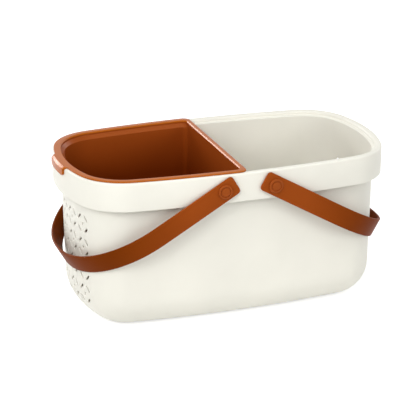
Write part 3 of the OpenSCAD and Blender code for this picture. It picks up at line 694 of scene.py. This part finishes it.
def strap_skin(h, half_y, pivot, angle, end):
    """A strap: a rectangle with round edges carried round the handle's outline, from one round-cornered tip
    past the pivots and the grip to the other, then turned about the pivots' line to its resting angle."""
    skin = Skin()
    face = half_y + h.clearance + h.thickness
    arcs = plan_arcs(h.reach, face, h.arm_bow, h.grip_bow, h.corner_radius)
    part = quarter(arcs, end_rows(arcs, np.linspace(0, arcs.end_angle * arcs.end_r, 17), 0), 20)
    back = -h.tail * np.sin(np.linspace(0, math.pi / 2, 19)[1:])
    side = np.vstack([part, stacked(back, 0.0, face, math.pi / 2)])
    x, y, radius, turn = np.vstack([side[::-1] * [1, -1, 1, -1], side[1:]]).T

    along = x + (radius - h.thickness / 2) * np.cos(turn)
    from_tip = along + h.tail
    short = np.clip(h.tail_radius - from_tip, 0, h.tail_radius)
    width = np.interp(along, [0, h.reach / 2], [h.end_width / 2, h.grip_width / 2])
    width = width - h.tail_radius + np.sqrt(h.tail_radius ** 2 - short ** 2)
    soft = h.edge - np.sqrt(h.edge ** 2 - np.clip(h.edge - from_tip, 0, h.edge) ** 2)
    width, thick = (width - soft)[:, None], (h.thickness / 2 - soft)[:, None]
    edge = np.minimum(h.edge, thick)

    steps = 5
    a = np.radians(np.concatenate([np.linspace(q, q + 90, steps) for q in (0, 90, 180, 270)]))
    out = (thick - edge) * np.repeat([1, -1, -1, 1], steps) + edge * np.cos(a)
    up = (width - edge) * np.repeat([1, 1, -1, -1], steps) + edge * np.sin(a)
    reach = (radius - h.thickness / 2)[:, None] + out
    turn = turn[:, None]
    local = stacked(x[:, None] + reach * np.cos(turn), y[:, None] + reach * np.sin(turn), up)
    swing = angle if end > 0 else math.pi - angle
    c, w = math.cos(swing), math.sin(swing)
    placed = local @ np.array([[c, 0, w], [0, 1, 0], [-w, 0, c]]).T + pivot
    skin.grid(placed.transpose(1, 0, 2), close_rows=True, close_columns=False)
    ring = list(range(4 * steps))
    skin.add(placed[0], [ring])
    skin.add(placed[-1], [ring[::-1]])
    return skin


def turned(profile, x, z, side, steps=72):
    """A profile (radius, distance from the basket's middle plane) turned about a pivot's line."""
    a = np.linspace(0, 2 * math.pi, steps + 1)[:-1]
    r, d = profile[:, 0][:, None], profile[:, 1][:, None]
    return stacked(x + r * np.cos(a), side * d, z - side * r * np.sin(a))


def button_skin(h, face, tip, x, z, side):
    """Shaft, flat underside, rounded edge, ring groove and a faintly domed face."""
    skin = Skin()
    head, top, shaft = h.button / 2, face + h.button_height, 0.004
    groove_in, groove_out = (h.groove - h.groove_width) / 2, (h.groove + h.groove_width) / 2
    deep, soft, slope, under, dome = top - h.groove_depth, 0.00018, 0.0001, 0.0002, 0.00008
    dome_start, dome_share = 0.00005, 0.6
    profile = np.vstack([
        [[0, tip], [shaft, tip], [shaft, face], [head - under, face]],
        bend(head - h.button_edge, top - h.button_edge, h.button_edge, 0, 90, 6),
        bend(groove_out + soft, top - soft, soft, 90, 180, 3),
        [[groove_out - slope, deep], [groove_in + slope, deep]],
        bend(groove_in - soft, top - soft, soft, 0, 90, 3),
        [[groove_in * dome_share, top + dome_start], [0, top + dome]]])
    skin.grid(turned(profile, x, z, side))
    return skin


# ---- finishes ----

def new_material(name):
    """A material with its node tree and its shader."""
    material = bpy.data.materials.new(name)
    material.use_nodes = True
    return material, material.node_tree, material.node_tree.nodes["Principled BSDF"]


def fill(tree, node, inputs):
    """Sets a node's inputs, each to a plain value or to the answer of another node."""
    for key, value in inputs.items():
        if isinstance(value, bpy.types.NodeSocket):
            tree.links.new(value, node.inputs[key])
        else:
            node.inputs[key].default_value = value


def answer(tree, kind, inputs, output=0, **settings):
    """The answer of a new node with these inputs and settings."""
    node = tree.nodes.new("ShaderNode" + kind)
    for setting, value in settings.items():
        setattr(node, setting, value)
    fill(tree, node, inputs)
    return node.outputs[output]


def remap(tree, value, source, target):
    """The value carried from one range to another."""
    ends = zip(("From Min", "From Max", "To Min", "To Max"), (*source, *target))
    return answer(tree, "MapRange", {"Value": value, **dict(ends)})


def moulded_plastic(name, shades, axis, roughness, drift, gloss, tint=(1, 1, 1)):
    """Injection-moulded plastic: a fine spark-eroded grain in the bump, slow drifts in shade and gloss as
    the melt flowed, and faint scuffs that only show in the gloss. The shades are pairs of a distance from
    the object's middle along the axis and the colour there, with an even passage from each to the next.
    The roughness varies by drift, and the tint colours the gloss."""
    material, tree, shader = new_material(name)
    place = answer(tree, "TexCoord", {}, "Object")
    grain = bpy.context.scene.caddy_finishes.grain
    usual, scuffed, shade_drift = (0.3, 0.7), (0.58, 0.75), (0.955, 1.035)
    bump_strength, grain_depth = 0.22, 0.12

    def noise(scale, detail, rough=0.5):
        inputs = {"Vector": place, "Scale": scale, "Detail": detail, "Roughness": rough}
        return answer(tree, "TexNoise", inputs, "Fac")

    flow = noise(9, 3)
    first, last = shades[0][0], shades[-1][0]
    away = answer(tree, "Math", {0: answer(tree, "SeparateXYZ", {0: place}, axis)}, operation="ABSOLUTE")
    ramp = answer(tree, "ValToRGB", {"Fac": remap(tree, away, (first, last), (0, 1))})
    stops = ramp.node.color_ramp.elements
    while len(stops) < len(shades):
        stops.new(0.5)
    for stop, (distance, shade) in zip(stops, shades):
        stop.position = (distance - first) / (last - first)
        stop.color = (*Color(shade).from_srgb_to_scene_linear(), 1)
    mixed = {"Factor": 1, "A": ramp, "B": remap(tree, flow, usual, shade_drift)}
    scuffs = remap(tree, noise(160, 6, 0.7), scuffed, (0, drift))
    matt = remap(tree, flow, usual, (roughness - drift / 2, roughness + drift / 2))
    bump = {"Strength": bump_strength, "Distance": grain * grain_depth, "Height": noise(1 / grain, 2, 0.6)}
    fill(tree, shader, {
        "IOR": PLASTIC_IOR, "Specular IOR Level": gloss, "Specular Tint": (*tint, 1),
        "Base Color": answer(tree, "Mix", mixed, "Result", data_type="RGBA", blend_type="MULTIPLY"),
        "Roughness": answer(tree, "Math", {0: matt, 1: scuffs}, operation="ADD"),
        "Normal": answer(tree, "Bump", bump)})
    return material


def finish(name):
    """One of the caddy's plastics, made once. The tray's shades lie at heights given from the rim: its
    darkening towards the floor is painted shade, and its lighter flange is painted light.
    """
    made = bpy.data.materials.get(name)
    if made:
        return made
    f = bpy.context.scene.caddy_finishes
    rim = overall()[2]
    if name == "cream_plastic":
        shades = [(0, f.cream), (rim, f.cream)]
        return moulded_plastic(name, shades, UP, f.cream_roughness, 0.06, gloss=0.35)
    # The straps darken from their middle towards the grips: painted shade.
    if name == "strap_plastic_painted_shade":
        shades = [(f.deepen_from, f.brown), (f.deepen_to, f.painted_grip_shade)]
        return moulded_plastic(name, shades, ALONG, f.strap_roughness, 0.08, gloss=0.04, tint=f.brown_gloss)
    # The tray darkens towards its floor, which is painted shade, and lightens on its flange, which is
    # painted light.
    if name == "tray_plastic_painted_shade_and_light":
        heights = [(-0.06, f.painted_tray_floor_shade), (-0.006, f.brown), (-0.0004, f.brown), (0.001, f.painted_rim_light)]
        shades = [(rim + height, shade) for height, shade in heights]
    else:
        # The tab takes the rim's lighter brown, which is painted light; the buttons keep the plain brown.
        shade = f.painted_rim_light if name == "tab_plastic_painted_light" else f.brown
        shades = [(0, shade), (rim, shade)]
    return moulded_plastic(name, shades, UP, f.tray_roughness, 0.03, gloss=0.2, tint=f.brown_gloss)


# ---- operators ----

def overall():
    """Half length and half width of the skirt, and the rim's height, from the frame's basket."""
    return tuple(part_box("basket")[1])


class CADDY_OT_basket(bpy.types.Operator):
    """Builds the moulded basket with its skirt, pierced ends and drained floor"""

    bl_idname = "caddy.basket"
    bl_label = "Basket"

    def execute(self, context):
        """Replaces the frame's basket."""
        scene = context.scene
        thing = basket_skin(scene.caddy_basket, *overall()).build("basket_moulding")
        settle(thing, finish("cream_plastic"), "basket", ["basket"])
        return {"FINISHED"}


class CADDY_OT_tray(bpy.types.Operator):
    """Builds the lift-out tray and its thumb tab"""

    bl_idname = "caddy.tray"
    bl_label = "Tray"

    def execute(self, context):
        """Replaces the frame's tray; the tab is a piece of its own that stands in the flange."""
        scene = context.scene
        low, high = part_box("tray")
        t, s = scene.caddy_tray, scene.caddy_basket
        plastic = finish("tray_plastic_painted_shade_and_light")
        thing = tray_skin(t, s, *overall(), low.z, high.z).build("tray_moulding")
        settle(thing, plastic, "tray", ["tray"])
        tab = tab_skin(t, s, *overall(), high.z).build("tray_thumb_tab")
        soft = tab.modifiers.new("soft_edges", "BEVEL")
        soft.width, soft.segments, soft.limit_method, soft.angle_limit = 0.0005, 3, "ANGLE", math.radians(40)
        settle(tab, finish("tab_plastic_painted_light"), "tray", [])
        return {"FINISHED"}


class CADDY_OT_handles(bpy.types.Operator):
    """Builds the two strap handles at rest"""

    bl_idname = "caddy.handles"
    bl_label = "Handles"

    def execute(self, context):
        """The resting angle follows from how low the strap reaches: reach * sin + half width * cos."""
        scene = context.scene
        h, (_, half_y, height) = scene.caddy_handles, overall()
        for end, name in ((-1, "left_handle"), (1, "right_handle")):
            pivot = Vector((end * h.pivot_spread, 0, height - h.pivot_drop))
            fall = pivot.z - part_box(name)[0].z
            half = h.grip_width / 2
            angle = math.asin(fall / math.hypot(h.reach, half)) - math.atan2(half, h.reach)
            thing = strap_skin(h, half_y, np.array(pivot), angle, end).build(name + "_strap")
            settle(thing, finish("strap_plastic_painted_shade"), name, [name])
        return {"FINISHED"}


class CADDY_OT_buttons(bpy.types.Operator):
    """Builds the four pivot buttons and finishes the caps behind them"""

    bl_idname = "caddy.buttons"
    bl_label = "Buttons and caps"

    def execute(self, context):
        """Each button keeps the head and tip of the frame's button; the caps are the frame's own."""
        h = context.scene.caddy_handles
        height = overall()[2]
        for end, side, name in ((-1, -1, "left_front"), (-1, 1, "left_rear"), (1, -1, "right_front"),
                                (1, 1, "right_rear")):
            low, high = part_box(name + "_button")
            near, far = sorted((abs(low.y), abs(high.y)))
            x, z = end * h.pivot_spread, height - h.pivot_drop
            skin = button_skin(h, far - h.button_height, near, x, z, side)
            thing = skin.build(name + "_pivot_button")
            settle(thing, finish("brown_plastic"), "basket", [name + "_button"])
            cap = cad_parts[name + "_cap"]
            cap.data.materials.clear()
            cap.data.materials.append(finish("cream_plastic"))
        return {"FINISHED"}


def lamp(name, place, size, power):
    """A square area lamp turned towards the stage's centre."""
    data = bpy.data.lights.new(name, "AREA")
    data.shape, data.size, data.energy = "SQUARE", size, power
    thing = new_object(name, data)
    thing.location = place
    thing.rotation_mode = "QUATERNION"
    thing.rotation_quaternion = (Vector(STAGE_CENTRE) - Vector(place)).to_track_quat("-Z", "Y")
    thing.visible_camera = False


def looking(tree):
    """1 for a ray from the camera or one that a gloss or a clear body sends on, 0 for one that lights."""
    rays = tree.nodes.new("ShaderNodeLightPath").outputs
    seen = {0: rays["Is Camera Ray"], 1: rays["Is Glossy Ray"]}
    either = {0: answer(tree, "Math", seen, operation="MAXIMUM"), 1: rays["Is Transmission Ray"]}
    return answer(tree, "Math", either, operation="MAXIMUM")


def add_floor():
    """A pale floor, white to the camera where it is lit and grey where the caddy shades it."""
    half, pale, matt, gloss, lift = 4.0, 0.85, 0.9, 0.1, 0.62
    mesh = bpy.data.meshes.new("floor")
    corners = [(-half, -half, 0), (half, -half, 0), (half, half, 0), (-half, half, 0)]
    mesh.from_pydata(corners, [], [range(4)])
    material, tree, shader = new_material("pale_floor")
    fill(tree, shader, {"Base Color": (pale, pale, pale, 1), "Roughness": matt, "Specular IOR Level": gloss})
    strength = answer(tree, "Math", {0: looking(tree), 1: lift}, operation="MULTIPLY")
    glow = answer(tree, "Emission", {"Color": (1, 1, 1, 1), "Strength": strength})
    both = answer(tree, "AddShader", {0: shader.outputs[0], 1: glow})
    fill(tree, tree.nodes["Material Output"], {"Surface": both})
    mesh.materials.append(material)
    new_object("floor", mesh)


def add_surround(strength):
    """An even sky that lights the caddy, and plain white to the camera and in reflections."""
    world = bpy.data.worlds.new("surround")
    bpy.context.scene.world = world
    world.use_nodes = True
    tree = world.node_tree
    level = remap(tree, looking(tree), (0, 1), (strength, 1))
    fill(tree, tree.nodes["Background"], {"Color": (1, 1, 1, 1), "Strength": level})


class CADDY_OT_stage(bpy.types.Operator):
    """Sets up the camera, the lamps, the floor and the white surround"""

    bl_idname = "caddy.stage"
    bl_label = "Stage"

    def execute(self, context):
        """The camera stands from its aim towards (sin a cos e, -cos a cos e, sin e), and is rolled about
        that line."""
        scene, st = context.scene, context.scene.caddy_stage
        scene.view_settings.view_transform = "Standard"
        a, e, aim = st.azimuth, st.elevation, Vector(st.aim)
        back = Vector((math.sin(a) * math.cos(e), -math.cos(a) * math.cos(e), math.sin(e)))
        right = Vector((math.cos(a), math.sin(a), 0))
        up = back.cross(right)
        side = right * math.cos(st.roll) + up * math.sin(st.roll)
        top = up * math.cos(st.roll) - right * math.sin(st.roll)
        data = bpy.data.cameras.new("camera")
        data.lens, data.sensor_width, data.clip_end = st.lens, 36, 50
        camera = new_object("camera", data)
        camera.matrix_world = Matrix.Translation(aim + back * st.distance) @ Matrix(
            (side, top, back)).transposed().to_4x4()
        scene.camera = camera

        lamp("key_lamp", (-1.3, -1.3, 1.4), 1.2, st.key)
        lamp("side_lamp", (-2.0, -0.4, 0.9), 1.2, st.side)
        lamp("fill_lamp", (1.3, -1.6, 1.0), 1.0, st.fill)
        lamp("overhead_lamp", (0, -0.6, 1.95), 1.4, st.over)
        lamp("rim_lamp", (-0.8, 1.9, 0.85), 0.6, st.rim)
        lamp("back_lamp", (1.9, 1.0, 1.0), 1.0, st.back)
        add_floor()
        add_surround(st.sky)
        return {"FINISHED"}


OPERATORS = (CADDY_OT_stage, CADDY_OT_basket, CADDY_OT_tray, CADDY_OT_handles, CADDY_OT_buttons)
SETTINGS = {"caddy_basket": CaddyBasketSizes, "caddy_tray": CaddyTraySizes,
            "caddy_handles": CaddyHandleSizes, "caddy_finishes": CaddyFinishes, "caddy_stage": CaddyStage}


class CADDY_PT_panel(bpy.types.Panel):
    """Sizes, finishes and building steps of the caddy"""

    bl_idname = "CADDY_PT_panel"
    bl_label = "Shower caddy"
    bl_space_type = "VIEW_3D"
    bl_region_type = "UI"
    bl_category = "Caddy"

    def draw(self, context):
        """A button for each operator, then the settings of each group."""
        for operator in OPERATORS:
            self.layout.operator(operator.bl_idname)
        for name, group in SETTINGS.items():
            box = self.layout.box()
            for setting in group.__annotations__:
                box.prop(getattr(context.scene, name), setting)


CLASSES = (*SETTINGS.values(), *OPERATORS, CADDY_PT_panel)


def register():
    """Makes the settings, operators and panel known to Blender."""
    for thing in CLASSES:
        bpy.utils.register_class(thing)
    for name, group in SETTINGS.items():
        setattr(bpy.types.Scene, name, PointerProperty(type=group))


def unregister():
    """Takes them away again."""
    for name in SETTINGS:
        delattr(bpy.types.Scene, name)
    for thing in reversed(CLASSES):
        bpy.utils.unregister_class(thing)


def main():
    """Builds everything in order."""
    register()
    for operator in OPERATORS:
        group, name = operator.bl_idname.split(".")
        getattr(getattr(bpy.ops, group), name)()


if __name__ == "__main__":
    main()
